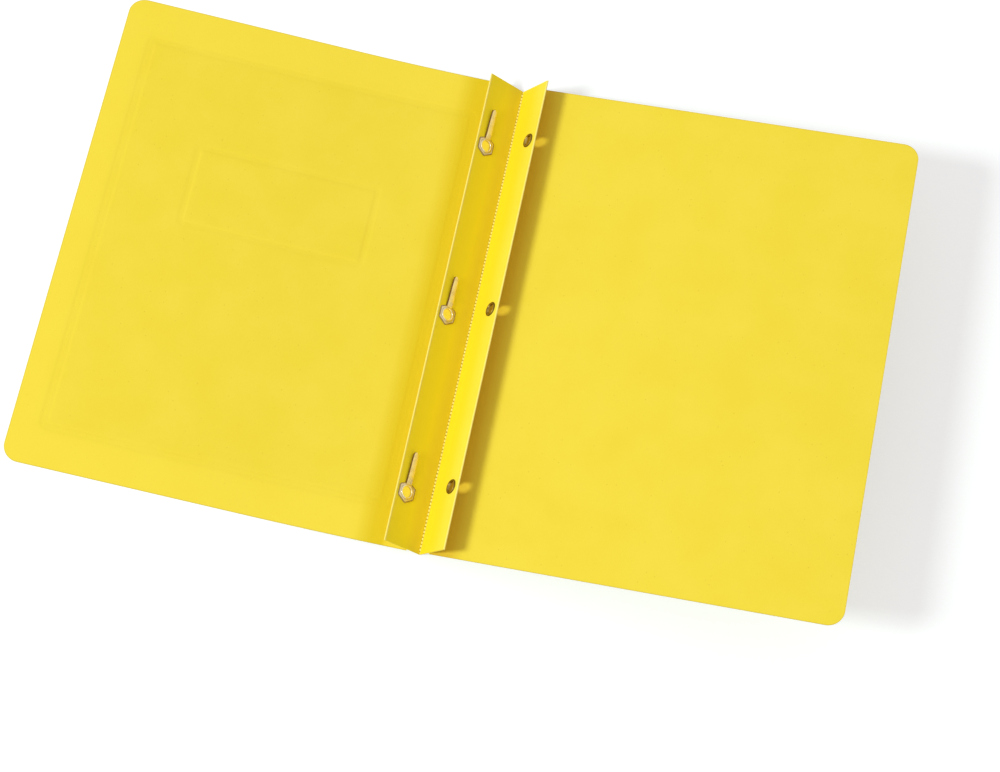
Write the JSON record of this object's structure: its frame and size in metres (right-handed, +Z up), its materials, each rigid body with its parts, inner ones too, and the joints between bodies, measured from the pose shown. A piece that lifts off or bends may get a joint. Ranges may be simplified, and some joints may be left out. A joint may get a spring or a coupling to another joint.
{
  "type": "report cover",
  "caption": "Open paperboard report cover with pleated spine flaps, bendable metal tangs on rings, eyelets, an embossed border and a blank title label.",
  "frame": {"origin": "middle of the open cover's floor plan, at table height", "axes": "+X from the front cover's fore edge to the back cover's, +Y to the head of the page, +Z up, away from the table"},
  "size_m": [0.4668, 0.2922, 0.0524],
  "materials": {
    "board": "matte",
    "label": "matte",
    "fastener": "satin",
    "eyelet": "satin"
  },
  "bodies": {
    "front_board": {"front_cover": "board", "title_label": "label"},
    "front_spine_flap": {"front_flap": "board", "tang_ring_top": "fastener", "tang_ring_middle": "fastener", "tang_ring_bottom": "fastener"},
    "back_spine_flap": {"back_flap": "board", "eyelet_top": "eyelet", "eyelet_middle": "eyelet", "eyelet_bottom": "eyelet"},
    "back_board": {"back_cover": "board"},
    "top_tang": {"tang_top": "fastener"},
    "middle_tang": {"tang_middle": "fastener"},
    "bottom_tang": {"tang_bottom": "fastener"}
  },
  "joints": [
    {"name": "front_hinge", "type": "hinge", "parent": "front_board", "child": "front_spine_flap", "pos_m": [-0.00409, 0, 0.00472], "axis": [0, 1, 0], "range_deg": [-37.8, 75]},
    {"name": "spine_fold", "type": "hinge", "parent": "front_spine_flap", "child": "back_spine_flap", "pos_m": [0.00359, 0, 0.00055], "axis": [0, 1, 0], "range_deg": [-77.9, 37]},
    {"name": "back_hinge", "type": "hinge", "parent": "back_spine_flap", "child": "back_board", "pos_m": [0.00838, 0, 0.00787], "axis": [0, 1, 0], "range_deg": [-50.2, 63]},
    {"name": "tang_bend_top", "type": "hinge", "parent": "front_spine_flap", "child": "top_tang", "pos_m": [-0.01128, 0.10635, 0.01086], "axis": [0.8251, 0, -0.565], "range_deg": [0, 88]},
    {"name": "tang_bend_middle", "type": "hinge", "parent": "front_spine_flap", "child": "middle_tang", "pos_m": [-0.01128, -0.0016, 0.01086], "axis": [0.8251, 0, -0.565], "range_deg": [0, 88]},
    {"name": "tang_bend_bottom", "type": "hinge", "parent": "front_spine_flap", "child": "bottom_tang", "pos_m": [-0.01128, -0.10955, 0.01086], "axis": [0.8251, 0, -0.565], "range_deg": [0, 88]}
  ]
}
